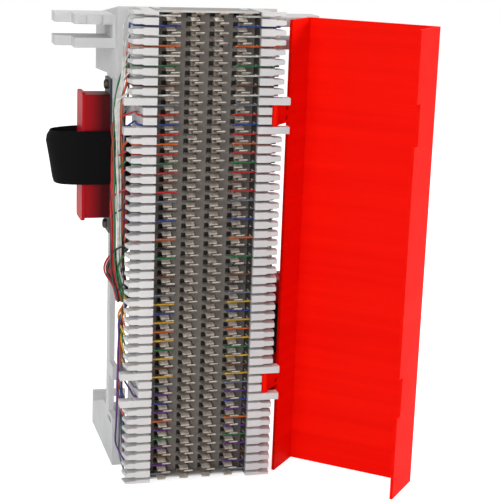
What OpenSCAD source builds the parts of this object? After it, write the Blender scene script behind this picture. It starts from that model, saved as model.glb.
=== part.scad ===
// Split punch-down wiring block on a stand-off bracket, with a hinged cover and two side connectors.
// Frame: Z up, X to the right, the front looks along -Y. Y = 0 is the wall plane behind the bracket.

/* [Block] */
// Number of terminal rows
rows = 50; // [46:2:50]
// Height of one row
row_pitch = 5.08; // [5:0.02:5.4]
// Width of the bracket and of the long hinge teeth's row
block_width = 86; // [84:1:92]
// Distance of the tooth tips from the middle of the block
tooth_reach = 41.5; // [40.5:0.1:42]
// Depth of the block from tooth front to back rim
block_depth = 28; // [27:1:34]
// Clear width of the well between the fanning strips
well_width = 54; // [53:1:56]
// Width of the solid rail that carries the teeth
rail_width = 7; // [6:0.5:8]
// Height of the slot between two teeth
slot_height = 1.4; // [1.2:0.1:1.8]
// Depth of the slots over the rail
slot_depth = 12; // [9:0.5:12]
// Depth of the free part of a tooth
tooth_depth = 7; // [6:0.5:9]
// How much each tooth leans in at its front
tooth_draft = 1.3; // [0.5:0.1:2]
// Gap between the free parts of two teeth
finger_gap = 2.4; // [1.8:0.1:2.6]
// Length of the widened mouth of a slot
mouth_length = 3; // [2:0.5:4]
// Height of a tooth at its blunt outer end
tooth_tip = 1.7; // [1:0.1:2.5]
// Depth of the well floor below the tooth fronts
well_depth = 13; // [12.5:0.5:14]
// Thickness of the well floor
floor_t = 6; // [4:0.5:7]
// Thickness of the walls that close the well at its ends
end_wall_t = 0.8; // [0.7:0.1:0.8]
// Depth of an end wall's edge below the tooth fronts
end_wall_drop = 5; // [5:0.5:8]

/* [Terminals] */
// Distance between two terminal columns
column_pitch = 12.5; // [12:0.1:13]
// Width of a terminal's root
fork_width = 2.6; // [2:0.1:3]
// Width of one leaf of a terminal
leaf_width = 4.6; // [4:0.1:4.8]
// Thickness of a leaf
leaf_t = 0.8; // [0.6:0.05:0.85]
// Sideways offset of a terminal's upper and lower leaf
leaf_shift = 1.3; // [0.8:0.1:1.4]
// How far the tip of a leaf leans out
tip_flare = 1.2; // [0.8:0.05:1.25]
// Length of the part of a leaf that leans out
flare_length = 2.4; // [1.8:0.1:2.5]
// Height of a terminal's root
fork_height = 2.9; // [2.4:0.1:2.9]
// Wire slot between the leaves
fork_slit = 1.1; // [1.06:0.02:1.3]
// Length of the wire slot from the tips
slit_length = 8.5; // [7:0.5:9]
// Depth of the terminal tips below the tooth fronts
fork_drop = 2; // [1:0.5:2.5]
// Thickness of the strap that joins two terminals
strap_metal_t = 0.8; // [0.5:0.1:1.2]
// Clearance round a terminal in the floor
fork_clearance = 0.1; // [0.05:0.05:0.2]

/* [Wires] */
// Diameter of an insulated wire
wire_d = 0.96; // [0.8:0.02:1.0]
// Depth below the tooth fronts at which a wire crosses to its terminal
wire_drop = 5.5; // [5:0.5:8]
// Length of wire past the terminal
wire_tail = 0.6; // [0.5:0.1:1]
// Radius of the wire bundle behind the teeth
bundle_r = 4.1; // [3.5:0.1:4.2]
// Radius of the bundle at its far ends
bundle_end_r = 2.4; // [1.6:0.1:2.6]

/* [Bracket] */
// Depth of the stand-off bracket
bracket_depth = 70; // [66:1:75]
// Thickness of the bracket's side walls and legs
bracket_wall = 3; // [2.5:0.5:3.5]
// Thickness of the ring that the block sits on
ring_t = 2; // [1.5:0.1:2]
// Depth of the bracket's connector pads behind the block
side_depth = 31; // [30.5:0.5:33]
// Depth of the upright rails between the legs
rail_depth = 9; // [7:0.5:12]
// Depth of the open cable channel in front of a side wall
channel_open = 13; // [12:0.5:13]
// Height of the bridges across the cable channel
bridge_height = 8; // [6:0.5:12]
// Height of the end bars of the ring
end_bar = 12; // [8:1:16]
// How far the top edge of an upper leg falls towards the wall
leg_fall = 8.5; // [6:0.5:9]
// Height of the upper legs at the wall
upper_leg = 31.5; // [26:0.5:36]
// Height of the lower legs at the wall
lower_leg = 13; // [12:1:20]
// Height of the upper legs where they join the side walls
upper_root = 38; // [34:1:39]
// Height of the lower legs where they join the side walls
lower_root = 28; // [22:1:32]
// Sideways distance between wall screws
screw_spacing_x = 60; // [50:1:64]
// Upright distance between wall screws
screw_spacing_z = 226; // [224:1:226]
// Radius of a wall screw hole
screw_hole_r = 2.4; // [2:0.1:3]
// Distance from a wall screw to the inner edges of its pad
pad_margin = 6.5; // [6:0.5:10]

/* [Wire guides] */
// Depth of the guides' front behind the tooth fronts
guide_start = 35; // [35:0.5:37]
// Length of the front part of a guide prong
guide_front = 21.5; // [14:0.5:24]
// Length of the rear part of a guide prong
guide_rear = 30; // [26:1:32]
// Height of one guide prong
guide_height = 5.2; // [5:0.2:7]
// Clear height between the two prongs of a guide
guide_gap = 7; // [6:0.5:9]
// Distance of the upper prong below the bracket's end
guide_inset = 4.8; // [1:0.2:6]
// Depth of the front part of a prong
guide_step = 12; // [9:1:14]
// Depth of a whole prong
guide_depth = 26; // [24:1:28]
// Wall thickness of a hollow prong
guide_wall = 1.4; // [1:0.1:1.8]

/* [Cover] */
// Height of the cover
cover_height = 253.6; // [244:0.2:254]
// How far the cover's middle sits below the middle of the block
cover_sag = 4.2; // [0:0.1:4.4]
// Wall thickness of the cover
cover_t = 1.6; // [1.2:0.1:1.6]
// Depth of the cover's flange on the hinge side
hinge_flange = 25; // [22:0.5:25]
// Depth of the cover's flange on the latch side
latch_flange = 29.5; // [26:0.5:31]
// Height of a notch in the latch flange
notch_height = 22; // [14:1:26]
// Depth of a notch in the latch flange
notch_depth = 5; // [4:0.5:9]
// Opening angle as drawn, 0 is closed
cover_open = 139; // [120:1:139]

/* [Hinge] */
// Distance of the hinge axis from the middle of the block
hinge_x = 36.5; // [36.4:0.1:36.8]
// Depth of the hinge axis behind the tooth fronts
hinge_drop = 2.3; // [2.2:0.1:2.6]
// Radius of the hinge barrels
barrel_r = 1.8; // [1.7:0.05:1.9]
// Radius of the hinge pins
pin_r = 1.2; // [1:0.05:1.25]
// Radial clearance of the hinge pins
pin_clearance = 0.08; // [0.05:0.01:0.1]
// Length of a hinge pin beyond its barrel
pin_length = 2.4; // [1.5:0.1:3]
// Clearance of a barrel between its two long teeth
barrel_clearance = 0.5; // [0.35:0.05:0.8]
// Length of the tabs between the hinge axis and the cover's flange
tab_length = 16; // [14:0.5:16]

/* [Connectors] */
// Height of the left connector's centre above the middle of the block
left_connector_z = 45.5; // [43:0.5:46]
// Distance of the right connector's centre below the middle of the block
right_connector_z = 60.5; // [58:0.5:61]
// Distance of the right strap's centre below the middle of the block
right_strap_z = 54.5; // [53:0.5:54.5]
// Distance from a connector screw to the end of the flange
flange_end = 3.5; // [3:0.1:5]
// Width of a connector flange
flange_width = 17; // [16:0.5:18]
// Thickness of a connector flange
flange_t = 1.2; // [0.8:0.1:1.6]
// Radius of a connector screw
connector_screw_r = 1.5; // [1.2:0.1:1.6]
// Radius of a connector screw's head
screw_head_r = 2.7; // [2.4:0.1:3]
// Height of a connector screw's head
screw_head_h = 1.8; // [1.4:0.1:2.2]
// Clearance between the dust cap and a screw head
cap_clearance = 0.8; // [0.5:0.1:1.2]
// Length of the connector's shroud
shroud_length = 65; // [62:1:66]
// Width of the connector's shroud
shroud_width = 13; // [11:0.5:14]
// How far the shroud stands out of the flange
shroud_reach = 7; // [5:0.5:9]
// Wall of the shroud
shroud_wall = 0.8; // [0.5:0.1:1.2]
// Number of contacts in each of the two rows
contacts_per_row = 25; // [20:1:25]
// Distance between neighbouring contacts
contact_pitch = 2.16; // [2:0.02:2.2]
// Length of a dust cap
cap_length = 70; // [69:0.5:71]
// Width of a dust cap
cap_width = 19; // [18:0.5:19.5]
// How far a dust cap stands out
cap_reach = 15; // [12:1:18]
// Wall of a dust cap
cap_wall = 1.6; // [1.2:0.1:2]
// Width of the hook-and-loop strap
strap_width = 29; // [20:1:30]
// Thickness of the strap
strap_t = 1.3; // [1:0.1:1.4]
// How far the strap's slack end stands out of the dust cap
strap_slack = 19; // [8:1:24]

/* [Hidden] */
$fn = 48;

// Small overlap that makes a cut or a joint between two shapes of one piece complete
cut = 1;
// Clearance between neighbouring pieces of the assembly
gap = 0.3;
// Radial clearance of the connector screws in the shell and the bracket
screw_clearance = 0.05;

block_height = rows * row_pitch;
half_h = block_height / 2;
half_w = block_width / 2;
half_well = well_width / 2;
front_y = -bracket_depth - block_depth;
back_y = -bracket_depth;
rail_x = half_well + rail_width;
tooth_height = row_pitch - slot_height;
group_rows = ceil(rows / 5);

// Teeth that carry the hinge barrels, counted from the top, and the short ones between them
hinge_teeth = [[8, 11], [37, 40]];
long_tooth_x = half_w + 1;
long_tooth_depth = 5.2;
pin_end = 0.5;
short_tooth_x = rail_x + 0.2;

// Depth behind the tooth fronts as a Y value
function at(depth) = front_y + depth;
function row_z(row) = half_h - (row + 0.5) * row_pitch;
function tooth_z(tooth) = half_h - (tooth + 1) * row_pitch;
function hinge_mid(pair) = (tooth_z(pair[0]) + tooth_z(pair[1])) / 2;
function hinge_span(pair) = tooth_z(pair[0]) - tooth_z(pair[1]) - tooth_height;

module box(low, high) {
  translate(low) cube(high - low);
}

// Extrudes a shape drawn in X and Z from one depth to another
module slab(from, to) {
  translate([0, at(to), 0]) rotate([90, 0, 0]) linear_extrude(to - from) children();
}

module both_sides() {
  children();
  mirror([1, 0, 0]) children();
}

// ---------------------------------------------------------------- block

module slot_shape() {
  flare = (row_pitch - tooth_tip) / 2;
  side = [[half_well - cut, slot_height / 2], [rail_x, slot_height / 2], [rail_x + 1.2, finger_gap / 2],
    [tooth_reach - mouth_length, finger_gap / 2], [tooth_reach, flare], [half_w + cut, flare]];
  polygon(concat(side, [for (i = [len(side) - 1 : -1 : 0]) [side[i][0], -side[i][1]]]));
}

// Teeth from one sideways position to another, seen from the front
module comb_shape(from_x, to_x) {
  difference() {
    translate([from_x, -half_h]) square([to_x - from_x, block_height]);
    for (row = [0 : rows - 1]) translate([0, row_z(row)]) slot_shape();
  }
}

// Room for the free parts of the teeth in front of their leaning outer faces
module tooth_limit() {
  translate([0, 0, -half_h]) linear_extrude(block_height)
    polygon([[0, at(0)], [tooth_reach - tooth_draft, at(0)], [tooth_reach, at(tooth_depth)], [0, at(tooth_depth)]]);
}

module long_teeth() {
  for (pair = hinge_teeth, tooth = pair)
    translate([0, 0, tooth_z(tooth) - tooth_height / 2])
      box([half_well, at(0), 0], [long_tooth_x, at(long_tooth_depth), tooth_height]);
}

module fanning_strip() {
  difference() {
    union() {
      intersection() {
        slab(0, tooth_depth) comb_shape(half_well, tooth_reach);
        tooth_limit();
      }
      slab(0, slot_depth) comb_shape(half_well, rail_x);
      long_teeth();
      box([half_well, at(slot_depth), -half_h], [rail_x, at(block_depth), half_h]);
    }
    for (pair = hinge_teeth) {
      top = tooth_z(pair[0]) - tooth_height / 2;
      box([short_tooth_x, at(-cut), top - hinge_span(pair)], [half_w + cut, at(tooth_depth + cut), top]);
      translate([hinge_x, at(hinge_drop), top - hinge_span(pair) - tooth_height - pin_end])
        cylinder(r = pin_r + pin_clearance, h = hinge_span(pair) + 2 * tooth_height + 2 * pin_end);
    }
  }
}

function column_x(column) = (column - 1.5) * column_pitch;

module floor_shape() {
  hole = [fork_width + 2 * fork_clearance, fork_height + 2 * fork_clearance];
  difference() {
    translate([-half_well, -half_h]) square([well_width, block_height]);
    for (row = [0 : rows - 1], column = [0 : 3])
      translate([column_x(column) - hole[0] / 2, row_z(row) - hole[1] / 2]) square(hole);
  }
}

latch_x = 23.5;
latch_w = 4;
latch_t = 0.7;
latch_reach = 8.5;
latch_tooth = 2;
latch_hook = 0.8;

module latch_pockets() {
  for (side = [-1, 1], end = [0, 1]) mirror([0, 0, end])
    translate([side * latch_x, 0, 0])
      box([-latch_w / 2 - gap, at(block_depth - latch_reach - gap), half_h - end_wall_t - cut],
        [latch_w / 2 + gap, at(block_depth - latch_reach + latch_tooth + gap), half_h + cut]);
}

module latch_grooves() {
  for (side = [-1, 1], end = [0, 1]) mirror([0, 0, end])
    translate([side * latch_x, 0, 0])
      box([-latch_w / 2 - gap, at(block_depth - latch_reach - gap), half_h - latch_t - 0.1],
        [latch_w / 2 + gap, at(block_depth + cut), half_h + cut]);
}

module block_body() color([0.86, 0.87, 0.86]) {
  both_sides() fanning_strip();
  slab(well_depth, well_depth + floor_t) floor_shape();
  difference() {
    for (end = [0, 1]) mirror([0, 0, end])
      box([-half_well, at(end_wall_drop), half_h - end_wall_t], [half_well, at(block_depth), half_h]);
    latch_pockets();
    latch_grooves();
  }
  both_sides() box([0.01, at(well_depth + floor_t), -half_h + end_wall_t], [1, at(block_depth), half_h - end_wall_t]);
}

// ---------------------------------------------------------------- terminals

fork_back = well_depth + floor_t + strap_metal_t;
leaf_clearance = 0.6;

// Upper leaf of a terminal seen from the side, drawn as depth and height
module leaf_shape() {
  inner = fork_slit / 2;
  outer = inner + leaf_t;
  bend = fork_drop + flare_length;
  foot = well_depth - leaf_clearance;
  polygon([[fork_drop, inner + tip_flare], [bend, inner], [foot, inner], [foot, outer], [bend + 0.2, outer],
    [fork_drop + 0.3, inner + tip_flare + 0.55]]);
}

module leaf() {
  translate([leaf_shift - leaf_width / 2, front_y, 0])
    rotate([90, 0, 90]) linear_extrude(leaf_width) leaf_shape();
}

module fork(x) {
  translate([x, 0, 0]) {
    leaf();
    turned() leaf();
    box([-fork_width / 2, at(fork_drop + slit_length), -fork_height / 2],
      [fork_width / 2, at(fork_back), fork_height / 2]);
  }
}

module double_clip() {
  fork(-column_pitch / 2);
  fork(column_pitch / 2);
  box([-column_pitch / 2, at(fork_back - strap_metal_t), -fork_height / 2],
    [column_pitch / 2, at(fork_back), fork_height / 2]);
}

module clip_bank(middle) {
  for (row = [0 : rows - 1]) translate([middle, 0, row_z(row)]) double_clip();
}

module clips_left() color([0.72, 0.70, 0.66]) clip_bank(-column_pitch);
module clips_right() color([0.72, 0.70, 0.66]) clip_bank(column_pitch);

// ---------------------------------------------------------------- bracket

side_back = block_depth + side_depth;
stack_depth = block_depth + bracket_depth;
rail_front = block_depth + channel_open;
rail_back = rail_front + rail_depth;
connector_depth = (rail_front + side_back) / 2;
insert_length = 60;
insert_width = 11;
channel_top = half_h - upper_root;
channel_bottom = -half_h + lower_root;
cross_bar = 7;
ring_x = rail_x + 0.4;
tie_slot = [12, 2.4];
guide_relief = 0.6;
tie_slot_drop = 5;
pad_edge = 2;

// Side wall with its two legs, drawn as depth and height
module wall_shape() {
  leg_top = half_h - leg_fall;
  difference() {
    union() {
      translate([rail_front, -half_h]) square([rail_depth, block_height - leg_fall]);
      polygon([[block_depth, half_h], [stack_depth, leg_top], [stack_depth, leg_top - upper_leg],
        [side_back, channel_top], [block_depth, channel_top]]);
      polygon([[block_depth, -half_h], [stack_depth, -half_h], [stack_depth, -half_h + lower_leg],
        [side_back, channel_bottom], [block_depth, channel_bottom]]);
    }
    translate([block_depth + ring_t + 2, channel_bottom - tie_slot_drop]) square(tie_slot);
  }
  for (pair = hinge_teeth)
    translate([block_depth + ring_t, hinge_mid(pair) - bridge_height / 2]) square([channel_open, bridge_height]);
}

// Wider part of the left side wall that carries a connector, up to its leg
module connector_pad(z, leg) {
  box([-half_w, at(rail_front), z - flange_length / 2 - pad_edge], [-half_w + bracket_wall, at(side_back), leg]);
}

module side_frame() {
  translate([half_w - bracket_wall, front_y, 0])
    rotate([90, 0, 90]) linear_extrude(bracket_wall) wall_shape();
}

module bridges() {
  for (pair = hinge_teeth) translate([0, 0, hinge_mid(pair) - bridge_height / 2])
    box([half_well, at(block_depth + ring_t - 0.01), 0], [half_w, at(block_depth + ring_t + bracket_wall), bridge_height]);
}

module ring() {
  slab(block_depth, block_depth + ring_t) difference() {
    translate([-half_w, -half_h]) square([block_width, block_height]);
    clear = (block_height - 2 * end_bar - 2 * cross_bar) / 3;
    for (part = [0 : 2])
      translate([-half_well, -half_h + end_bar + part * (clear + cross_bar)]) square([well_width, clear]);
    both_sides() translate([ring_x, channel_bottom]) square([half_w, channel_top - channel_bottom]);
  }
}

// Feet turned inwards at the ends of the legs, with the wall screw holes
module wall_pads() {
  screw_z = screw_spacing_z / 2;
  inner = screw_spacing_x / 2 - pad_margin;
  both_sides() {
    box([inner, -bracket_wall, screw_z - pad_margin], [half_w, 0, half_h - leg_fall]);
    box([inner, -bracket_wall, -half_h], [half_w, 0, -screw_z + pad_margin]);
  }
}

module latches() {
  for (side = [-1, 1]) translate([side * latch_x, 0, 0]) {
    box([-latch_w / 2, at(block_depth - latch_reach), half_h - latch_t],
      [latch_w / 2, at(block_depth + ring_t), half_h]);
    box([-latch_w / 2, at(block_depth - latch_reach), half_h - end_wall_t - latch_hook],
      [latch_w / 2, at(block_depth - latch_reach + latch_tooth), half_h]);
  }
}

// One prong, hollow from the rear: a front part and a longer rear part
module guide_prong() {
  start = half_w - bracket_wall / 2;
  first = guide_start;
  difference() {
    union() {
      box([start, at(first), 0], [half_w + guide_front, at(first + guide_step), guide_height]);
      box([start, at(first + guide_step), 0], [half_w + guide_rear, at(first + guide_depth), guide_height]);
    }
    box([half_w + guide_wall, at(first + guide_wall), guide_wall],
      [half_w + guide_front - guide_wall, at(first + guide_depth + cut), guide_height - guide_wall]);
    box([half_w + guide_wall, at(first + guide_step + guide_wall), guide_wall],
      [half_w + guide_rear - guide_wall, at(first + guide_depth + cut), guide_height - guide_wall]);
  }
}

module wire_guide() {
  top = half_h - guide_inset - guide_height;
  first = guide_start;
  translate([0, 0, top]) guide_prong();
  translate([0, 0, top - guide_gap - guide_height]) guide_prong();
  box([half_w - bracket_wall / 2, at(first), top - guide_gap], [half_w + guide_wall, at(first + guide_depth), top]);
  translate([half_w + guide_front * 0.45, at(first + 0.01), top + guide_height / 2])
    rotate([90, 0, 0]) cylinder(r = guide_height / 2, h = 1.2);
  for (part = [0.1, 0.72]) translate([half_w + guide_front * part, 0, top + guide_relief])
    box([0, at(first - guide_relief), 0], [guide_front * 0.2, at(first + 0.01), guide_height - 2 * guide_relief]);
}

// Openings of the left side wall for a connector
module side_openings(z) {
  depth = connector_depth;
  box([-half_w - cut, at(depth - insert_width / 2 - gap), z - insert_length / 2 - gap],
    [-half_w + bracket_wall + cut, at(depth + insert_width / 2 + gap), z + insert_length / 2 + gap]);
  for (end = [-1, 1]) translate([-half_w - cut, at(depth), z + end * connector_screws_z / 2])
    rotate([0, 90, 0]) cylinder(r = connector_screw_r + screw_clearance, h = bracket_wall + 2 * cut);
}

module bracket() color([0.84, 0.85, 0.85]) {
  difference() {
    union() {
      ring();
      both_sides() side_frame();
      both_sides() bridges();
      connector_pad(left_connector_z, channel_top);
      turned() connector_pad(right_connector_z, -channel_bottom);
      wall_pads();
      for (end = [0, 1]) mirror([0, 0, end]) latches();
    }
    side_openings(left_connector_z);
    turned() side_openings(right_connector_z);
    for (x = [-1, 1], z = [-1, 1])
      translate([x * screw_spacing_x / 2, cut, z * screw_spacing_z / 2])
        rotate([90, 0, 0]) cylinder(r = screw_hole_r, h = bracket_wall + 2 * cut);
  }
  both_sides() wire_guide();
}

// ---------------------------------------------------------------- cover

hinge_y = at(hinge_drop);
half_t = cover_t / 2;
hinge_edge = at(hinge_drop - tab_length);
panel_y = hinge_edge - hinge_flange;
latch_edge = panel_y + latch_flange;
cover_low = -cover_sag - cover_height / 2;

// Cover seen from above when closed, with its hinge flange in the plane of the hinge axis
module cover_shape() {
  outer = hinge_x + half_t;
  inner = hinge_x - half_t;
  polygon([[outer, hinge_edge], [outer, panel_y], [-outer, panel_y], [-outer, latch_edge],
    [-inner, latch_edge], [-inner, panel_y + cover_t], [inner, panel_y + cover_t], [inner, hinge_edge]]);
}

module hinge_tab(pair) {
  span = hinge_span(pair) - 2 * barrel_clearance;
  z = hinge_mid(pair) - span / 2;
  difference() {
    box([hinge_x - half_t, hinge_edge - cut, z], [hinge_x + half_t, hinge_y, z + span]);
    for (side = [-1, 1]) translate([0, 0, hinge_mid(pair) + side * span / 4])
      box([hinge_x - cover_t, hinge_edge + 0.8, -window_height / 2],
        [hinge_x + cover_t, hinge_edge + 0.8 + window_depth, window_height / 2]);
  }
  translate([hinge_x, hinge_y, z]) cylinder(r = barrel_r, h = span);
  translate([hinge_x, hinge_y, z - pin_length]) cylinder(r = pin_r, h = span + 2 * pin_length);
}

window_height = 2.4;
window_depth = 3.4;

module closed_cover() {
  difference() {
    translate([0, 0, cover_low]) linear_extrude(cover_height) cover_shape();
    for (pair = hinge_teeth)
      box([-hinge_x - cover_t, latch_edge - notch_depth, hinge_mid(pair) - notch_height / 2],
        [-hinge_x + cover_t, latch_edge + cut, hinge_mid(pair) + notch_height / 2]);
  }
  for (pair = hinge_teeth) hinge_tab(pair);
}

module cover() color([0.95, 0.10, 0.03]) {
  translate([hinge_x, hinge_y, 0]) rotate([0, 0, cover_open]) translate([-hinge_x, -hinge_y, 0]) closed_cover();
}

// ---------------------------------------------------------------- connectors
// A left connector is drawn at a height, and the right one is the same turned half a turn about Y.

mount_x = -half_w;
flange_out = mount_x - flange_t;
connector_screws_z = cap_length + 2 * (screw_head_r + cap_clearance);
flange_length = connector_screws_z + 2 * flange_end;

module on_connector(z) {
  translate([0, at(connector_depth), z]) children();
}

module oblong(size, r) {
  square([size[0] - 2 * r, size[1]], center = true);
  square([size[0], size[1] - 2 * r], center = true);
  for (x = [-1, 1], y = [-1, 1]) translate([x * (size[0] / 2 - r), y * (size[1] / 2 - r)]) circle(r);
}

// Extrudes a shape drawn as height and width outwards from a sideways position
module outwards(from_x, length) {
  translate([from_x, 0, 0]) rotate([0, -90, 0]) linear_extrude(length) children();
}

module connector_shell(z) color([0.62, 0.62, 0.60]) on_connector(z) {
  difference() {
    union() {
      outwards(mount_x, flange_t) square([flange_length, flange_width], center = true);
      outwards(flange_out + 0.01, shroud_reach) oblong([shroud_length, shroud_width], 3);
    }
    outwards(mount_x + cut, flange_t + shroud_reach + 3 * cut)
      oblong([shroud_length - 2 * shroud_wall, shroud_width - 2 * shroud_wall], 3 - shroud_wall);
    for (end = [-1, 1]) translate([mount_x + cut, 0, end * connector_screws_z / 2])
      rotate([0, -90, 0]) cylinder(r = connector_screw_r + screw_clearance, h = flange_t + 2 * cut);
  }
}

insert_back = mount_x + bracket_wall + 2.5;
tongue_length = contacts_per_row * contact_pitch + 2;
tongue_width = 4;
contact_t = 0.35;
contact_w = 1.2;

module connector_insert(z) color([0.10, 0.10, 0.11]) on_connector(z) {
  outwards(insert_back, insert_back - flange_out) oblong([insert_length - 2 * gap, insert_width - 2 * gap], 2);
  outwards(mount_x, flange_t) oblong([shroud_length - 2 * shroud_wall, shroud_width - 2 * shroud_wall], 3 - shroud_wall);
  outwards(flange_out, shroud_reach - 1) square([tongue_length, tongue_width], center = true);
}

module contacts(z) color([0.80, 0.66, 0.30]) on_connector(z) {
  for (i = [0 : contacts_per_row - 1], side = [-1, 1]) {
    place = (i - (contacts_per_row - 1) / 2) * contact_pitch;
    y = side > 0 ? tongue_width / 2 : -tongue_width / 2 - contact_t;
    translate([flange_out - shroud_reach + 1.5, y, place - contact_w / 2]) cube([shroud_reach - 1.5, contact_t, contact_w]);
  }
}

module dust_cap(z) color([0.86, 0.05, 0.07]) on_connector(z) {
  lip = 1.2;
  difference() {
    union() {
      outwards(flange_out, cap_reach) oblong([cap_length - 2 * lip, cap_width - lip], 2);
      outwards(flange_out - cap_reach + 1.8, 1.8) oblong([cap_length, cap_width], 2.5);
    }
    outwards(flange_out + cut, cap_reach - cap_wall + cut)
      oblong([shroud_length + 2 * gap, shroud_width + 2 * gap], 3 + gap);
  }
}

strap_in = insert_back + 2 * bundle_r + 0.1 + gap;
strap_out = flange_out - cap_reach - strap_slack;
strap_span = strap_in + strap_t - strap_out;
strap_d = cap_width + 2 * gap + 2 * strap_t;

module strap(z) color([0.04, 0.04, 0.05]) on_connector(z) {
  translate([(strap_in + strap_t + strap_out) / 2, 0, -strap_width / 2]) linear_extrude(strap_width)
    difference() {
      oblong([strap_span, strap_d], 4);
      oblong([strap_span - 2 * strap_t, strap_d - 2 * strap_t], 4 - strap_t);
    }
}

module left_screws(z) {
  on_connector(z) for (end = [-1, 1]) translate([0, 0, end * connector_screws_z / 2]) {
    translate([flange_out, 0, 0]) rotate([0, -90, 0]) cylinder(r = screw_head_r, h = screw_head_h);
    translate([flange_out - 0.01, 0, 0]) rotate([0, 90, 0]) cylinder(r = connector_screw_r, h = flange_t + bracket_wall + 1);
  }
}

module turned() {
  rotate([0, 180, 0]) children();
}

module connector_screws() color([0.35, 0.34, 0.30]) {
  left_screws(left_connector_z);
  turned() left_screws(right_connector_z);
}

module connector_shell_left() connector_shell(left_connector_z);
module connector_shell_right() turned() connector_shell(right_connector_z);
module connector_insert_left() connector_insert(left_connector_z);
module connector_insert_right() turned() connector_insert(right_connector_z);
module contacts_left() contacts(left_connector_z);
module contacts_right() turned() contacts(right_connector_z);
module dust_cap_left() dust_cap(left_connector_z);
module dust_cap_right() turned() dust_cap(right_connector_z);
module strap_left() strap(left_connector_z);
module strap_right() turned() strap(right_strap_z);

// ---------------------------------------------------------------- wires

module rod(a, b, r1, r2) {
  d = b - a;
  length = norm(d);
  translate(a) rotate([0, acos(d[2] / length), atan2(d[1], d[0])]) cylinder(r1 = r1, r2 = r2, h = length);
}

channel_x = half_w - bundle_r - gap;
channel_depth = block_depth - bundle_r - gap;
bundle_end = half_h - 1.6;
join_z = -30;
branch_r = bundle_r - 0.2;
tube_sides = 10;

// Radius of the bundle behind the teeth at a height, on the left side
function bundle_radius(z) = z < join_z
  ? bundle_r + (bundle_end_r - bundle_r) * (join_z - z) / (bundle_end + join_z)
  : branch_r + (bundle_end_r - branch_r) * (z - join_z) / (bundle_end - join_z);

function unit(v) = v / norm(v);

// Tube with one radius for each point of its route
module tube(route, radii) {
  last = len(route) - 1;
  points = [for (i = [0 : last])
    let (along = unit(route[min(i + 1, last)] - route[max(i - 1, 0)]), u = unit(cross(along, [0, 1, 0])), w = cross(along, u))
    for (k = [0 : tube_sides - 1])
      route[i] + radii[i] * (u * cos(360 * (k + 0.5) / tube_sides) + w * sin(360 * (k + 0.5) / tube_sides))];
  sides = [for (i = [0 : last - 1], k = [0 : tube_sides - 1])
    let (next = (k + 1) % tube_sides)
    [i * tube_sides + k, (i + 1) * tube_sides + k, (i + 1) * tube_sides + next, i * tube_sides + next]];
  first_cap = [for (k = [0 : tube_sides - 1]) k];
  last_cap = [for (k = [tube_sides - 1 : -1 : 0]) last * tube_sides + k];
  polyhedron(points, concat([first_cap], sides, [last_cap]));
}

module bundle(z) {
  back_x = insert_back + bundle_r + 0.1;
  run = [-channel_x, at(channel_depth), 0];
  route = [[insert_back + bundle_end_r + 0.1, at(connector_depth), z + 26],
    [back_x, at(connector_depth), 24],
    [back_x, at(connector_depth), 16],
    [back_x, at(rail_front + 2.5), 5],
    [-half_w + 6, at(rail_front - 3.5), -3],
    [-half_w, at(rail_front - 6.5), -9],
    [-half_w - 1.5, at(block_depth + 3.5), -15],
    [-channel_x - 2, at(channel_depth + 1.5), join_z + 8],
    run + [0, 0, join_z],
    run + [0, 0, -bundle_end]];
  tube(route, [for (i = [0 : 9]) i > 0 && i < 9 ? bundle_r : bundle_end_r]);
  tube([run + [0, 0, join_z - 2], run + [0, 0, bundle_end]], [branch_r, bundle_end_r]);
}

module bundle_left() color([0.55, 0.40, 0.38]) bundle(left_connector_z);
module bundle_right() color([0.55, 0.40, 0.38]) turned() bundle(right_connector_z);

// Leads beside a hinge barrel keep nearer the rail, clear of the cover's tab
function beside_hinge(row) = len([for (pair = hinge_teeth) if (row > pair[0] && row <= pair[1]) row]) > 0;
function lead_x(row) = beside_hinge(row) ? hinge_x - pin_r + 0.3 : channel_x;

// Ten leads of one colour group, from the bundle through the slots to the outer terminals
module leads(group, side) {
  r = wire_d / 2;
  end_x = column_x(3) - leaf_shift - leaf_width / 2 - wire_tail;
  for (row = [group * group_rows : min((group + 1) * group_rows, rows) - 1]) translate([0, 0, row_z(row)]) {
    start = channel_depth - bundle_radius(side * row_z(row)) - 0.25;
    x = lead_x(row);
    rod([x, at(start), 0], [x, at(wire_drop), 0], r, r);
    translate([x, at(wire_drop), 0]) sphere(r);
    rod([x, at(wire_drop), 0], [end_x, at(wire_drop), 0], r, r);
  }
}

module left_leads(group) {
  mirror([1, 0, 0]) leads(group, 1);
}

module wires_left_white() color([0.88, 0.88, 0.86]) left_leads(0);
module wires_left_red() color([0.75, 0.08, 0.08]) left_leads(1);
module wires_left_black() color([0.08, 0.08, 0.09]) left_leads(2);
module wires_left_yellow() color([0.85, 0.66, 0.10]) left_leads(3);
module wires_left_violet() color([0.38, 0.16, 0.50]) left_leads(4);
module wires_right_white() color([0.88, 0.88, 0.86]) leads(0, -1);
module wires_right_red() color([0.75, 0.08, 0.08]) leads(1, -1);
module wires_right_black() color([0.08, 0.08, 0.09]) leads(2, -1);
module wires_right_yellow() color([0.85, 0.66, 0.10]) leads(3, -1);
module wires_right_violet() color([0.38, 0.16, 0.50]) leads(4, -1);

// ---------------------------------------------------------------- assembly

block_body();
clips_left();
clips_right();
bracket();
cover();
connector_shell_left();
connector_shell_right();
connector_insert_left();
connector_insert_right();
contacts_left();
contacts_right();
dust_cap_left();
dust_cap_right();
strap_left();
strap_right();
connector_screws();
bundle_left();
bundle_right();
wires_left_white();
wires_left_red();
wires_left_black();
wires_left_yellow();
wires_left_violet();
wires_right_white();
wires_right_red();
wires_right_black();
wires_right_yellow();
wires_right_violet();
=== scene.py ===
import math
import random

import bpy
import numpy as np
from mathutils import Matrix, Vector, noise


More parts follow.
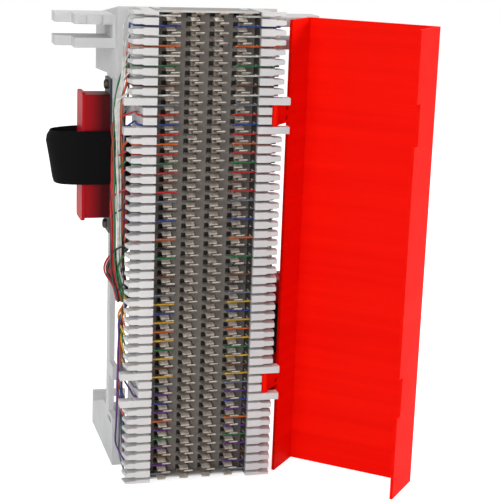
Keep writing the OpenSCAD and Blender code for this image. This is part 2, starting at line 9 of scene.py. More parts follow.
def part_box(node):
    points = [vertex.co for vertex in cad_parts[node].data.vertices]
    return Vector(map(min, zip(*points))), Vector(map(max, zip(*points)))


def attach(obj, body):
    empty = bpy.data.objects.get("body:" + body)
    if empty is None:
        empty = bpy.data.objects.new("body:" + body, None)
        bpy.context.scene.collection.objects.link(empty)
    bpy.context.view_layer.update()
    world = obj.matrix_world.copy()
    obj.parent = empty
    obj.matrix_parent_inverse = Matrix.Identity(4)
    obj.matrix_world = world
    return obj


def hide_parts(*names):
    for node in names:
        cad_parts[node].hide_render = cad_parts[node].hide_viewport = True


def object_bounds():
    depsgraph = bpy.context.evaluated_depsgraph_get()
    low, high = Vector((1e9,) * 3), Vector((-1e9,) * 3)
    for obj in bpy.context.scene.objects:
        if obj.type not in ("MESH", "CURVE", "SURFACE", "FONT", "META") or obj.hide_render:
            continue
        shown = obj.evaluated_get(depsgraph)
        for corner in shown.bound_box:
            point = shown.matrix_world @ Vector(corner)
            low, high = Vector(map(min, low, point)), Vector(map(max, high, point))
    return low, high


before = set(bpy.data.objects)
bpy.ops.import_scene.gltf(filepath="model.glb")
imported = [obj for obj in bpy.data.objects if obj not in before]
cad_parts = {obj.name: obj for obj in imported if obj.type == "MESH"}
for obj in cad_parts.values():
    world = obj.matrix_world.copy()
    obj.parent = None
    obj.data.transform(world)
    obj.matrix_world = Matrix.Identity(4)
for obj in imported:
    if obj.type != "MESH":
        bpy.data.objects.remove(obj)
cad_low, cad_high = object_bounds()

MM = 0.001
# Sizes of the solids in millimetres, with Y = 0 at the wall and the tooth fronts at FRONT_Y.
BLOCK_H = 254.0
ROWS = 50
MIDDLE_ROW = (ROWS - 1) / 2
PITCH = BLOCK_H / ROWS
FRONT_Y = -98.0
CONNECTOR_Y = -48.0
LEFT_CONNECTOR_Z = 45.5
RIGHT_CONNECTOR_Z = -60.5
WIRE_D = 1.08
# Places in metres that the block's material goes by.
WELL_HALF = 0.0270
WELL_FLOOR = -0.0850
COLUMN = 0.0125
# Depths where the painted shade in the wells and the painted shadow on their walls start and are
# full, and half the size of the painted shadow patch at a terminal's hole.
WELL_SHADE_FROM_Y, WELL_SHADE_FULL_Y = -0.0945, -0.0868
SHADE_FROM_Y, SHADE_FULL_Y = -0.0972, -0.0940
HOLE_SHADOW_HALF_X, HOLE_SHADOW_HALF_Z = 0.0036, 0.0016

# ---------------------------------------------------------------- materials


def srgb(r, g, b):
    """A colour written as 0-255 display values, as linear RGBA."""
    out = []
    for v in (r, g, b):
        v /= 255.0
        out.append(v / 12.92 if v <= 0.04045 else ((v + 0.055) / 1.055) ** 2.4)
    return (*out, 1.0)


class Shader:
    """A Principled material with its node tree at hand."""

    def __init__(self, name, rough=0.5, metallic=0.0):
        self.mat = bpy.data.materials.new(name)
        self.mat.use_nodes = True
        self.nodes = self.mat.node_tree.nodes
        self.links = self.mat.node_tree.links
        self.bsdf = self.nodes["Principled BSDF"]
        self.bsdf.inputs["Roughness"].default_value = rough
        self.bsdf.inputs["Metallic"].default_value = metallic
        self.coords = self.nodes.new("ShaderNodeTexCoord").outputs["Object"]

    def position(self):
        """The three coordinates of a point, in metres."""
        split = self.nodes.new("ShaderNodeSeparateXYZ")
        self.links.new(self.coords, split.inputs[0])
        return split.outputs

    def noise(self, scale, detail=3.0, stretch=None):
        node = self.nodes.new("ShaderNodeTexNoise")
        node.inputs["Scale"].default_value = scale
        node.inputs["Detail"].default_value = detail
        self.links.new(self.mapped(stretch), node.inputs["Vector"])
        return node.outputs["Fac"]

    def mapped(self, stretch):
        if stretch is None:
            return self.coords
        mapping = self.nodes.new("ShaderNodeMapping")
        mapping.inputs["Scale"].default_value = stretch
        self.links.new(self.coords, mapping.inputs["Vector"])
        return mapping.outputs["Vector"]

    def wave(self, scale, direction, distortion=0.0):
        node = self.nodes.new("ShaderNodeTexWave")
        node.bands_direction = direction
        node.inputs["Scale"].default_value = scale
        node.inputs["Distortion"].default_value = distortion
        self.links.new(self.coords, node.inputs["Vector"])
        return node.outputs["Fac"]

    def ramp(self, fac, stops):
        node = self.nodes.new("ShaderNodeValToRGB")
        ramp = node.color_ramp
        while len(ramp.elements) < len(stops):
            ramp.elements.new(0.5)
        for element, (pos, colour) in zip(ramp.elements, stops):
            element.position = pos
            element.color = colour
        self.links.new(fac, node.inputs["Fac"])
        return node.outputs["Color"]

    def mix(self, fac, a, b):
        node = self.nodes.new("ShaderNodeMix")
        node.data_type = "RGBA"
        for value, socket in ((fac, node.inputs[0]), (a, node.inputs[6]), (b, node.inputs[7])):
            if isinstance(value, bpy.types.NodeSocket):
                self.links.new(value, socket)
            else:
                socket.default_value = value
        return node.outputs[2]

    def span(self, fac, low, high):
        node = self.nodes.new("ShaderNodeMapRange")
        node.inputs["To Min"].default_value = low
        node.inputs["To Max"].default_value = high
        self.links.new(fac, node.inputs["Value"])
        return node.outputs["Result"]

    def math(self, operation, a, b=None):
        node = self.nodes.new("ShaderNodeMath")
        node.operation = operation
        self.links.new(a, node.inputs[0])
        if isinstance(b, float):
            node.inputs[1].default_value = b
        elif b is not None:
            self.links.new(b, node.inputs[1])
        return node.outputs[0]

    def limits(self, value, zero, one):
        """0 where value is at zero, 1 where it is at one."""
        node = self.nodes.new("ShaderNodeMapRange")
        node.inputs["From Min"].default_value = zero
        node.inputs["From Max"].default_value = one
        self.links.new(value, node.inputs["Value"])
        return node.outputs["Result"]

    def colour(self, value):
        self.links.new(value, self.bsdf.inputs["Base Color"])

    def rough(self, fac, low, high):
        self.links.new(self.span(fac, low, high), self.bsdf.inputs["Roughness"])

    def bump(self, height, distance, strength=1.0):
        node = self.nodes.new("ShaderNodeBump")
        node.inputs["Distance"].default_value = distance
        node.inputs["Strength"].default_value = strength
        self.links.new(height, node.inputs["Height"])
        self.links.new(node.outputs["Normal"], self.bsdf.inputs["Normal"])


def moulded_plastic(name, colour, darker, rough, specular=0.5):
    s = Shader(name)
    cloud = s.noise(22.0, 4.0)
    s.colour(s.ramp(cloud, [(0.3, darker), (0.62, colour)]))
    s.rough(s.noise(160.0, 3.0), *rough)
    s.bump(s.noise(1800.0, 2.0), 0.00006, 0.5)
    s.bsdf.inputs["Specular IOR Level"].default_value = specular
    return s.mat


def block_plastic():
    """The block's plastic, with painted shade deep in the well between the terminals, painted
    shadow on the well's side walls, and dark patches at the terminals that are partly their holes
    and partly painted shadow.
    """
    s = Shader("block_grey_white")
    unshaded_tone = s.ramp(s.noise(22.0, 4.0), [(0.3, srgb(204, 204, 205)), (0.62, srgb(218, 218, 218))])
    x, y, z = s.position()
    across, height = s.math("ABSOLUTE", x), s.math("ABSOLUTE", z)
    inside = s.limits(across, WELL_HALF + 0.0006, WELL_HALF + 0.0002)
    # Painted shade: the plastic is drawn darker grey deeper in the well.
    well_shade = s.math("MULTIPLY", inside, s.limits(y, WELL_SHADE_FROM_Y, WELL_SHADE_FULL_Y))
    # Painted shadow: the faces of the well's side walls are drawn dark from just behind the tooth
    # fronts inwards.
    wall_shadow = s.math("MULTIPLY", s.limits(across, WELL_HALF - 0.0004, WELL_HALF - 0.0001), inside)
    wall_shadow = s.math("MULTIPLY", wall_shadow, s.limits(y, SHADE_FROM_Y, SHADE_FULL_Y))
    # Painted shadow: dark patches on the well floor at each terminal, partly the terminal's hole
    # and partly the shade round it.
    half_column, half_row = COLUMN / 2, PITCH * MM / 2
    edge_x, edge_z = half_column - HOLE_SHADOW_HALF_X, half_row - HOLE_SHADOW_HALF_Z
    hole_shadow_x = s.limits(s.math("PINGPONG", across, half_column), edge_x - 0.0004, edge_x)
    hole_shadow_z = s.limits(s.math("PINGPONG", height, half_row), edge_z - 0.0002, edge_z)
    floor_only = s.limits(y, WELL_FLOOR - 0.0006, WELL_FLOOR - 0.0002)
    on_floor = s.math("MULTIPLY", inside, floor_only)
    hole_shadow = s.math("MULTIPLY", s.math("MULTIPLY", hole_shadow_x, hole_shadow_z), on_floor)
    # The mottled dark grey of the painted shade in the well.
    shaded_well_tone = s.ramp(s.noise(240.0, 4.0), [(0.3, srgb(132, 126, 120)), (0.7, srgb(152, 146, 140))])
    with_painted_shade = s.mix(wall_shadow, s.mix(well_shade, unshaded_tone, shaded_well_tone), srgb(66, 61, 58))
    s.colour(s.mix(hole_shadow, with_painted_shade, srgb(34, 32, 30)))
    s.rough(s.noise(160.0, 3.0), 0.4, 0.55)
    s.bump(s.noise(1800.0, 2.0), 0.00006, 0.5)
    s.bsdf.inputs["Specular IOR Level"].default_value = 0.3
    return s.mat


def cap_plastic():
    """Translucent red plastic, with painted shade that darkens it from the outer end towards the
    flange.
    """
    s = Shader("cap_red")
    x, _, _ = s.position()
    # Painted shade: the cap is drawn darker towards its flange end.
    flange_shade = s.limits(s.math("ABSOLUTE", x), 0.0600, 0.0480)
    s.colour(s.mix(flange_shade, srgb(196, 12, 28), srgb(70, 2, 8)))
    s.rough(s.noise(160.0, 3.0), 0.4, 0.55)
    s.bump(s.noise(1400.0, 2.0), 0.00005, 0.5)
    s.bsdf.inputs["Specular IOR Level"].default_value = 0.16
    return s.mat


def cover_plastic():
    s = Shader("cover_red_plastic")
    flow = s.noise(9.0, 4.0, (0.5, 0.5, 22.0))
    tone = s.ramp(flow, [(0.32, srgb(246, 12, 0)), (0.68, srgb(254, 19, 1))])
    s.colour(tone)
    s.rough(s.noise(90.0, 4.0), 0.5, 0.62)
    s.bump(s.noise(900.0, 2.0), 0.00005, 0.45)
    s.bsdf.inputs["Specular IOR Level"].default_value = 0.05
    return s.mat


def clip_metal():
    s = Shader("tinned_spring_metal", metallic=0.55)
    cloud = s.noise(420.0, 3.0)
    s.colour(s.ramp(cloud, [(0.25, srgb(136, 128, 119)), (0.75, srgb(200, 192, 183))]))
    s.rough(s.noise(700.0, 3.0), 0.42, 0.62)
    s.bump(s.noise(2600.0, 2.0, (1.0, 1.0, 6.0)), 0.00004, 0.5)
    return s.mat


def dark_metal(name, a, b, rough):
    s = Shader(name, metallic=0.7)
    s.colour(s.ramp(s.noise(300.0, 3.0), [(0.3, a), (0.7, b)]))
    s.rough(s.noise(500.0, 3.0), *rough)
    s.bump(s.noise(1800.0, 2.0), 0.00003, 0.4)
    return s.mat


def strap_fabric():
    s = Shader("hook_and_loop_black", rough=0.9)
    warp = s.wave(1250.0, "Z", 1.5)
    loops = s.noise(1500.0, 4.0)
    height = s.mix(0.55, warp, loops)
    s.colour(s.ramp(height, [(0.25, srgb(5, 5, 6)), (0.8, srgb(20, 20, 22))]))
    s.bump(height, 0.0004, 0.7)
    s.bsdf.inputs["Specular IOR Level"].default_value = 0.12
    return s.mat


def insulation(name, rgb, shade=0.8):
    s = Shader("insulation_" + name)
    dark = srgb(*(v * shade for v in rgb))
    s.colour(s.ramp(s.noise(260.0, 3.0), [(0.3, dark), (0.7, srgb(*rgb))]))
    s.rough(s.noise(400.0, 2.0), 0.3, 0.45)
    s.bump(s.noise(1500.0, 2.0), 0.00003, 0.3)
    return s.mat


BLOCK = block_plastic()
BRACKET = moulded_plastic("bracket_grey_white",
                          srgb(216, 216, 216), srgb(202, 203, 203), (0.42, 0.6), specular=0.3)
CAP = cap_plastic()
DARK = moulded_plastic("connector_dark", srgb(44, 50, 56), srgb(34, 38, 44), (0.4, 0.6))
COVER = cover_plastic()
CLIP = clip_metal()
SCREW = dark_metal("blackened_steel", srgb(52, 52, 44), srgb(84, 82, 70), (0.35, 0.55))
GOLD = dark_metal("gold_contact", srgb(188, 150, 72), srgb(224, 190, 110), (0.22, 0.4))
STRAP = strap_fabric()

GROUPS = ["white", "red", "black", "yellow", "violet"]
MATES = ["blue", "orange", "green", "brown", "slate"]
RGB = {
    "white": (232, 232, 226), "red": (206, 20, 26), "black": (24, 24, 27),
    "yellow": (232, 184, 40), "violet": (96, 44, 132), "blue": (30, 62, 150),
    "orange": (232, 104, 26), "green": (28, 118, 66), "brown": (104, 60, 34),
    "slate": (116, 126, 140),
}
INSULATION = {name: insulation(name, rgb) for name, rgb in RGB.items()}


def dress(node, material):
    """Gives a CAD node its material."""
    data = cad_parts[node].data
    data.materials.clear()
    data.materials.append(material)


def soften(node, width, segments=2, angle=35):
    """Rounds a CAD node's sharp edges a little, as moulding does."""
    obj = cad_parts[node]
    mod = obj.modifiers.new("edge_round", "BEVEL")
    mod.width = width * MM
    mod.segments = segments
    mod.limit_method = "ANGLE"
    mod.angle_limit = math.radians(angle)
    mod.harden_normals = False


dress("block_body", BLOCK)
dress("bracket", BRACKET)
dress("cover", COVER)
for clips in ("clips_left", "clips_right"):
    dress(clips, CLIP)
for side in ("left", "right"):
    dress("connector_shell_" + side, DARK)
    dress("connector_insert_" + side, DARK)
    dress("contacts_" + side, GOLD)
    dress("dust_cap_" + side, CAP)
soften("cover", 0.35)
soften("block_body", 0.18, 1)
soften("bracket", 0.3)
soften("dust_cap_left", 0.5)
soften("dust_cap_right", 0.5)

# ---------------------------------------------------------------- mesh helpers


class Builder:
    """Collects vertices and faces, with a material for each run of faces."""

    def __init__(self):
        self.verts, self.faces, self.slots, self.materials = [], [], [], []

    def add(self, verts, faces, material):
        if material not in self.materials:
            self.materials.append(material)
        slot = self.materials.index(material)
        start = len(self.verts)
        self.verts.extend(tuple(v) for v in verts)
        self.faces.extend(tuple(start + i for i in f) for f in faces)
        self.slots.extend([slot] * len(faces))

    def build(self, name, smooth=True):
        mesh = bpy.data.meshes.new(name)
        mesh.from_pydata([tuple(c * MM for c in v) for v in self.verts], [], self.faces)
        for material in self.materials:
            mesh.materials.append(material)
        mesh.polygons.foreach_set("material_index", self.slots)
        mesh.polygons.foreach_set("use_smooth", [smooth] * len(self.faces))
        mesh.update()
        obj = bpy.data.objects.new(name, mesh)
        bpy.context.scene.collection.objects.link(obj)
        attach(obj, "base")
        return obj


def tube(points, radius, sides=6):
    """Vertices and faces of a round tube along points, closed at both ends."""
    p = np.asarray(points, float)
    t = np.gradient(p, axis=0)
    t /= np.linalg.norm(t, axis=1)[:, None]
    ref = np.array([0.31, 0.87, 0.38])
    u = np.cross(t, ref)
    u /= np.linalg.norm(u, axis=1)[:, None]
    w = np.cross(t, u)
    ang = 2 * np.pi * np.arange(sides) / sides
    cos, sin = np.cos(ang)[None, :, None], np.sin(ang)[None, :, None]
    rings = p[:, None] + radius * (cos * u[:, None] + sin * w[:, None])
    faces = []
    for i in range(len(p) - 1):
        for k in range(sides):
            n = (k + 1) % sides
            faces.append((i * sides + k, i * sides + n, (i + 1) * sides + n, (i + 1) * sides + k))
    faces.append(tuple(range(sides - 1, -1, -1)))
    faces.append(tuple((len(p) - 1) * sides + k for k in range(sides)))
    return rings.reshape(-1, 3), faces


def spline(points, count):
    """A smooth curve through points, as count points."""
    p = [Vector(q) for q in points]
    p = [p[0] * 2 - p[1]] + p + [p[-1] * 2 - p[-2]]
    out = []
    spans = len(p) - 3
    for n in range(count):
        f = n / (count - 1) * spans
        i = min(int(f), spans - 1)
        t = f - i
        a, b, c, d = p[i:i + 4]
        square, cube = 2 * a - 5 * b + 4 * c - d, 3 * b - a - 3 * c + d
        out.append(0.5 * (2 * b + (c - a) * t + square * t * t + cube * t ** 3))
    return out


# ---------------------------------------------------------------- wires

RUN_X = 38.6
RUN_DEPTH = 23.6
RUN_Y = FRONT_Y + RUN_DEPTH
CROSS_Y = FRONT_Y + 5.5
WIRE_END_X = 14.55
# At these rows a hinge or its pair of long teeth leaves less room, so the wires turn back earlier.
HINGE_ROWS = (9, 10, 11, 38, 39, 40)
HINGE_TURN_X = 35.6
JOIN_Z = -30.0
# Wires that start nearer to the join than this go straight into it.
SHORT_RUN = 12
RUN_STEP = 11
SPREAD = 0.72
MAX_SPREAD = 4.1
# Between these heights the run bulges outwards and towards the wall, and it fades out at both ends.
BULGE_TOP, BULGE_TOP_FADE = 92.0, 14.0
BULGE_LOW, BULGE_LOW_FADE = -26.0, 10.0
BULGE_OUT, BULGE_BACK = 3.2, 2.2
# How far the wires' axes can lie from the middle plane, and how deep behind the tooth fronts.
RUN_INNER, RUN_OUTER, RUN_OUTER_BULGE = 34.6, 42.3, 3.6
RUN_SHALLOW, RUN_DEEP = 18.6, 30.2
# Which way from the run's middle the wires of a colour lie, in radians from +X towards the wall.
FACING = {"red": 3.6, "white": 5.1, "green": 4.5, "black": 5.7}
# The way from the join into the bracket and up behind the connector, on the left side.
TRUNK = [(-38.6, -74.4, -30.0), (-40.6, -72.9, -22.0), (-44.5, -66.5, -15.0),
         (-43.0, -63.5, -9.0), (-37.0, -60.5, -3.0), (-33.3, -54.5, 5.0),
         (-33.3, CONNECTOR_Y, 16.0), (-33.3, CONNECTOR_Y, 24.0)]
INSERT_BACK = -37.5
INSERT_LOW, INSERT_SPAN = 22.0, 49.0
LIFT = {"left": 0.0, "right": -RIGHT_CONNECTOR_Z - LEFT_CONNECTOR_Z}
ROOM_BY_BRIDGE = 27.2
ROOM_MORE = 7.5
BRIDGE_Z, BRIDGE_HALF, BRIDGE_FADE = 73.7, 4.5, 7.0
RING_Z = 84
WIRE_CLEAR = 0.7


def clamp(value, low, high):
    return min(max(value, low), high)


def room(z):
    """How deep wires can lie behind the teeth at a height, in front of the ring and the bridges."""
    if abs(z) > RING_Z:
        return ROOM_BY_BRIDGE
    bridge = abs(abs(z) - BRIDGE_Z)
    return ROOM_BY_BRIDGE + ROOM_MORE * clamp((bridge - BRIDGE_HALF) / BRIDGE_FADE, 0.0, 1.0)


def wire_colour(row):
    """The usual pair code: group colours on even rows, each pair's own colour on odd rows."""
    if row % 2 == 0:
        return GROUPS[row // 10]
    return MATES[(row % 10) // 2]


def lie(rng, colour, row, rank, here):
    """Where a wire lies round the middle of the run, as an angle and a distance."""
    r = min(MAX_SPREAD, SPREAD * math.sqrt(rank + 1.5))
    if colour in FACING:
        a = FACING[colour] + rng.uniform(-0.5, 0.5)
        r = max(r, rng.uniform(2.6, MAX_SPREAD))
    else:
        a = rng.uniform(-1.6, 1.2)
        r = rng.uniform(0.3, 3.2)
    if colour == "black" and row % 4 == 0:
        a -= 1.8
    if here < 0:
        a = math.pi + rng.uniform(-1.2, 1.2)
        r = rng.uniform(0.8, 3.0)
    return a, r


def turn_back(row, z):
    """A wire's way out of the field from its clip, round the teeth and back between them."""
    turn_x = HINGE_TURN_X if row in HINGE_ROWS else RUN_X
    places = [(-WIRE_END_X, 0), (-24, 0), (-30, 0), (-turn_x + 3.1, 0), (-turn_x + 0.7, 0.35),
              (-turn_x + 0.05, 1.6), (-turn_x, 6), (-turn_x, 12)]
    return [Vector((x, CROSS_Y + depth, z)) for x, depth in places]


def along_run(rng, z, here, offset):
    """A wire's way up or down behind the teeth to the join."""
    distance = abs(z - JOIN_Z)
    steps = max(2, int(distance / RUN_STEP))
    points = []
    for i in range(steps):
        f = i / steps
        zz = z - here * (7 + (distance - 7) * f)
        sway = Vector((rng.uniform(-0.3, 0.3), rng.uniform(-0.3, 0.3), 0))
        spot = Vector((-RUN_X, RUN_Y, 0)) + offset(-distance * (1 - f) / 60) + sway
        below_top = clamp((BULGE_TOP - zz) / BULGE_TOP_FADE, 0.0, 1.0)
        bulge = below_top * clamp((zz - BULGE_LOW) / BULGE_LOW_FADE, 0.0, 1.0)
        spot += Vector((-BULGE_OUT * bulge, BULGE_BACK * bulge, 0))
        deepest = min(room(zz) - WIRE_CLEAR, RUN_DEEP)
        spot.x = clamp(spot.x, -RUN_OUTER - RUN_OUTER_BULGE * bulge, -RUN_INNER)
        spot.y = clamp(spot.y, FRONT_Y + RUN_SHALLOW, FRONT_Y + deepest)
        points.append(spot + Vector((0, 0, zz)))
    return points


def into_connector(side, row, height, a):
    """A wire's way from the trunk's end at this height to its place at the insert's back."""
    goal = LIFT[side] + INSERT_LOW + INSERT_SPAN * ((row * 7) % ROWS + 0.5) / ROWS
    lane = 2.6 * math.cos(a)
    points = [Vector((-35.6, CONNECTOR_Y + lane, goal - 2.0)),
              Vector((INSERT_BACK, CONNECTOR_Y + 1.6 * (1 if lane > 0 else -1), goal))]
    if goal - height > 10:
        points.insert(0, Vector((-34.4, CONNECTOR_Y + lane, height + (goal - height) * 0.55)))
    return points


def side_wires(side):
    """All fifty wires of a side. The right side is the left one turned half a turn about Y."""
    rng = random.Random(7 if side == "left" else 11)
    rows = sorted(range(ROWS), key=lambda r: -abs((MIDDLE_ROW - r) * PITCH - JOIN_Z))
    builders = {g: Builder() for g in GROUPS}
    trunk = TRUNK[:-1] + [(*TRUNK[-1][:2], TRUNK[-1][2] + 0.6 * LIFT[side])]
    way = 1 if side == "left" else -1
    for rank, row in enumerate(rows):
        z = (MIDDLE_ROW - row) * PITCH
        here = 1 if z > JOIN_Z else -1
        home = row if side == "left" else ROWS - 1 - row
        colour = wire_colour(home)
        a, r = lie(rng, colour, row, rank, here)

        def offset(f, flip=0.0):
            turn = a + flip + 0.5 * f
            return Vector((r * math.cos(turn), r * math.sin(turn), 0))

        short = abs(z - JOIN_Z) <= SHORT_RUN
        path = turn_back(row, z)
        if not short:
            path += along_run(rng, z, here, offset)
        for i, c in enumerate(trunk[1:] if short else trunk):
            path.append(Vector(c) + offset(i * 0.35, 0.0 if here > 0 else math.pi))
        path += into_connector(side, row, trunk[-1][2], a)
        points = [(way * p.x, p.y, way * p.z) for p in spline(path, 5 * len(path))]
        verts, faces = tube(points, WIRE_D / 2)
        builders[GROUPS[home // 10]].add(verts, faces, INSULATION[colour])
    for group, builder in builders.items():
        obj = builder.build(f"{side}_wires_{group}_group")
        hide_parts(f"wires_{side}_{group}", f"bundle_{side}")


side_wires("left")
side_wires("right")

# ---------------------------------------------------------------- straps

STRAP_T = 1.3
CAP_OUTER_X = 59.5
RAIL_OUTER_X = 44.0
STRAP_LEVELS = 10


def strap(side):
    """The hook-and-loop strap: a closed band round the cap and the rail, slack at its outer end."""
    low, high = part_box("strap_" + side)
    sign = -1 if side == "left" else 1
    x_out, x_in = (low[0], high[0]) if side == "left" else (high[0], low[0])
    x_out, x_in = x_out / MM, x_in / MM
    y0, y1 = low[1] / MM, high[1] / MM
    bottom, top = low[2] / MM, high[2] / MM
    half = STRAP_T / 2
    mid = (y0 + y1) / 2
    yf, yb = y0 + half, y1 - half
    xo, xi = x_out - sign * half, x_in + sign * half
    cap, rail = sign * CAP_OUTER_X, sign * RAIL_OUTER_X
    ctrl = [(xi, mid), (xi, mid - 5), (xi + sign * 1.2, yf + 1.2), (xi + sign * 5, yf), (rail, yf),
            (cap, yf), (cap + sign * 8, yf + 0.9), (xo - sign * 3.2, yf + 3.4), (xo, mid - 1.5),
            (xo - sign * 1.5, mid + 5.5), (cap + sign * 9, yb - 1.2), (cap, yb), (rail, yb),
            (xi + sign * 5, yb), (xi + sign * 1.2, yb - 1.2), (xi, mid + 5), (xi, mid)]
    loop = spline([(x, y, 0) for x, y in ctrl], 96)
    last = len(loop) - 1
    verts = []
    for i, p in enumerate(loop):
        t = (loop[min(i + 1, last)] - loop[max(i - 1, 0)]).normalized()
        normal = Vector((t.y, -t.x, 0))
        if i in (0, last):
            normal = Vector((-sign if normal.x * -sign > 0 else sign, 0, 0))
        out = max(0.0, (abs(p.x) - abs(cap)) / (abs(x_out) - abs(cap)))
        for k in range(STRAP_LEVELS + 1):
            v = k / STRAP_LEVELS
            z = bottom + (top - bottom) * v
            wobble = 0.22 * noise.noise(Vector((p.x * 0.07 + 3.0, p.y * 0.07, z * 0.09)))
            edge = 1.0 - 0.45 * max(0, abs(v - 0.5) * 2 - 0.85) / 0.15
            pull = out * (5.0 * (1 - v) + 3.0 * max(0.0, v - 0.85) / 0.15)
            for face in (-1, 1):
                q = p + normal * (wobble + face * half * 0.92 * edge)
                verts.append((q.x - sign * pull, q.y, z - 0.7 * out * v))
    stride = 2 * (STRAP_LEVELS + 1)
    faces = []
    for i in range(last):
        e0, e1 = i * stride, (i + 1) * stride
        for k in range(STRAP_LEVELS):
            a0, a1 = e0 + 2 * k, e1 + 2 * k
            faces.append((a0, a1, a1 + 2, a0 + 2))
            faces.append((a0 + 1, a0 + 3, a1 + 3, a1 + 1))
        faces.append((e0, e0 + 1, e1 + 1, e1))
        f0, f1 = e0 + 2 * STRAP_LEVELS, e1 + 2 * STRAP_LEVELS
        faces.append((f0, f1, f1 + 1, f0 + 1))
    b = Builder()
    b.add(verts, faces, STRAP)
    obj = b.build("hook_and_loop_strap_" + side)
    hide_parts("strap_" + side)


strap("left")
strap("right")

# ---------------------------------------------------------------- screws

# Depth along the axis from the flange, and radius, from the head's top to the thread's tip.
SCREW_PROFILE = [(0.75, 0.35), (1.35, 1.45), (1.7, 1.75), (1.8, 2.2), (1.35, 2.55), (0.6, 2.7),
                 (0.0, 2.7), (0.0, 1.5), (-3.6, 1.5), (-5.2, 0.9)]
SCREW_SIDES = 28
FLANGE_FACE_X = 44.2
SCREW_REACH = 38.5


def pan_screw(builder, centre, sign):
    """A small cross-recessed pan-head screw, its axis along X."""
    cx, cy, cz = centre
    verts, faces = [], []
    for depth, radius in SCREW_PROFILE:
        in_recess = radius < 1.3 and depth > 0
        recess_depth = 0.55 if radius < 0.5 else 1.0
        for k in range(SCREW_SIDES):
            a = 2 * math.pi * k / SCREW_SIDES
            r = radius + (0.95 if abs(math.sin(a * 2)) < 0.45 else 0.1) if in_recess else radius
            d = recess_depth if in_recess else depth
            verts.append((cx + sign * d, cy + r * math.cos(a), cz + r * math.sin(a)))
    last = (len(SCREW_PROFILE) - 1) * SCREW_SIDES
    for start in range(0, last, SCREW_SIDES):
        for k in range(SCREW_SIDES):
            n = (k + 1) % SCREW_SIDES
            quad = (start + k, start + n, start + SCREW_SIDES + n, start + SCREW_SIDES + k)
            faces.append(quad if sign > 0 else quad[::-1])
    for start, way in ((0, -sign), (last, sign)):
        ring = tuple(range(start, start + SCREW_SIDES))
        faces.append(ring if way > 0 else ring[::-1])
    builder.add(verts, faces, SCREW)


screws = Builder()
for sign, middle in ((-1, LEFT_CONNECTOR_Z), (1, RIGHT_CONNECTOR_Z)):
    for end in (-SCREW_REACH, SCREW_REACH):
        pan_screw(screws, (sign * FLANGE_FACE_X, CONNECTOR_Y, middle + end), sign)
screw_piece = screws.build("connector_screw_set", smooth=False)
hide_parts("connector_screws")

# ---------------------------------------------------------------- stage

FLOOR_GAP = 0.0002
FLOOR_HALF = 3.0
OBJECT_MIDDLE = (0, -0.05, 0)


def background(world_or_mat, low, high):
    """Shows high to the camera and to mirror-like rays, and low to everything else."""
    nodes, links = world_or_mat.node_tree.nodes, world_or_mat.node_tree.links
    path = nodes.new("ShaderNodeLightPath")
    add = nodes.new("ShaderNodeMath")
    add.operation = "ADD"
    more = nodes.new("ShaderNodeMath")
    more.operation = "ADD"
    more.use_clamp = True
    links.new(path.outputs["Is Camera Ray"], add.inputs[0])
    links.new(path.outputs["Is Glossy Ray"], add.inputs[1])
    links.new(add.outputs[0], more.inputs[0])
    links.new(path.outputs["Is Transmission Ray"], more.inputs[1])
    mix = nodes.new("ShaderNodeMixShader")
    links.new(more.outputs[0], mix.inputs[0])
    links.new(low, mix.inputs[1])
    links.new(high, mix.inputs[2])
    return mix.outputs[0]


world = bpy.data.worlds.new("studio")
bpy.context.scene.world = world
world.use_nodes = True
wn, wl = world.node_tree.nodes, world.node_tree.links
wn.clear()
dim, bright = wn.new("ShaderNodeBackground"), wn.new("ShaderNodeBackground")
dim.inputs["Color"].default_value = (0.97, 0.98, 1.0, 1)
dim.inputs["Strength"].default_value = 0.29
bright.inputs["Color"].default_value = (1, 1, 1, 1)
bright.inputs["Strength"].default_value = 1.0
out = wn.new("ShaderNodeOutputWorld")
wl.new(background(world, dim.outputs[0], bright.outputs[0]), out.inputs["Surface"])

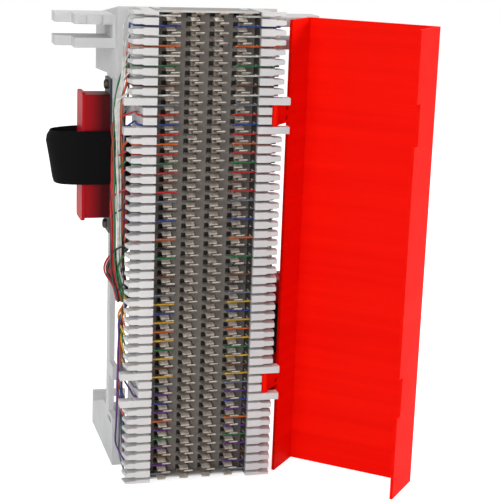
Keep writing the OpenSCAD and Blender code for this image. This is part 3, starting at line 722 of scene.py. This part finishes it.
floor_mesh = bpy.data.meshes.new("floor")
floor_z = cad_low[2] - FLOOR_GAP
corners = [(-FLOOR_HALF, -FLOOR_HALF), (FLOOR_HALF, -FLOOR_HALF),
           (FLOOR_HALF, FLOOR_HALF), (-FLOOR_HALF, FLOOR_HALF)]
floor_mesh.from_pydata([(x, y, floor_z) for x, y in corners], [], [(0, 1, 2, 3)])
floor = bpy.data.objects.new("floor", floor_mesh)
bpy.context.scene.collection.objects.link(floor)
fm = bpy.data.materials.new("pale_floor")
fm.use_nodes = True
fn, fl = fm.node_tree.nodes, fm.node_tree.links
fn.clear()
matte = fn.new("ShaderNodeBsdfDiffuse")
matte.inputs["Color"].default_value = (0.86, 0.86, 0.86, 1)
glow = fn.new("ShaderNodeEmission")
glow.inputs["Color"].default_value = (1, 1, 1, 1)
glow.inputs["Strength"].default_value = 0.78
both = fn.new("ShaderNodeAddShader")
fl.new(matte.outputs[0], both.inputs[0])
fl.new(glow.outputs[0], both.inputs[1])
fo = fn.new("ShaderNodeOutputMaterial")
fl.new(background(fm, matte.outputs[0], both.outputs[0]), fo.inputs["Surface"])
floor_mesh.materials.append(fm)


def area(name, pos, aim, size, power, colour=(1, 1, 1)):
    data = bpy.data.lights.new(name, "AREA")
    data.shape = "DISK"
    data.size = size
    data.energy = power
    data.color = colour
    obj = bpy.data.objects.new(name, data)
    bpy.context.scene.collection.objects.link(obj)
    obj.location = pos
    obj.rotation_euler = (Vector(aim) - Vector(pos)).to_track_quat("-Z", "Y").to_euler()


area("key", (-0.95, -1.45, 0.6), OBJECT_MIDDLE, 0.9, 14.2)
area("side", (1.75, -0.74, 0.4), (0.0, -0.08, 0), 0.5, 19.0, (1.0, 0.92, 0.84))
area("top", (0.1, -0.1, 1.4), OBJECT_MIDDLE, 1.0, 8.0)

# ---------------------------------------------------------------- camera

CAMERA_YAW, CAMERA_PITCH, CAMERA_ROLL = 15.72, 13.70, 2.10
CAMERA_PLACE = (-0.173, -0.703 + FRONT_Y * MM, 0.180)
yaw, pitch, roll = (math.radians(v) for v in (CAMERA_YAW, CAMERA_PITCH, CAMERA_ROLL))
ahead = math.cos(pitch)
forward = Vector((math.sin(yaw) * ahead, math.cos(yaw) * ahead, -math.sin(pitch)))
level = Vector((math.cos(yaw), -math.sin(yaw), 0))
above = level.cross(forward)
right = math.cos(roll) * level + math.sin(roll) * above
up = -math.sin(roll) * level + math.cos(roll) * above
camera_data = bpy.data.cameras.new("camera")
camera_data.sensor_width = 36.0
camera_data.lens = 101.6
camera = bpy.data.objects.new("camera", camera_data)
bpy.context.scene.collection.objects.link(camera)
axes = Matrix((right, up, -forward)).transposed()
camera.matrix_world = Matrix.Translation(CAMERA_PLACE) @ axes.to_4x4()
bpy.context.scene.camera = camera
bpy.context.scene.view_settings.view_transform = "Standard"
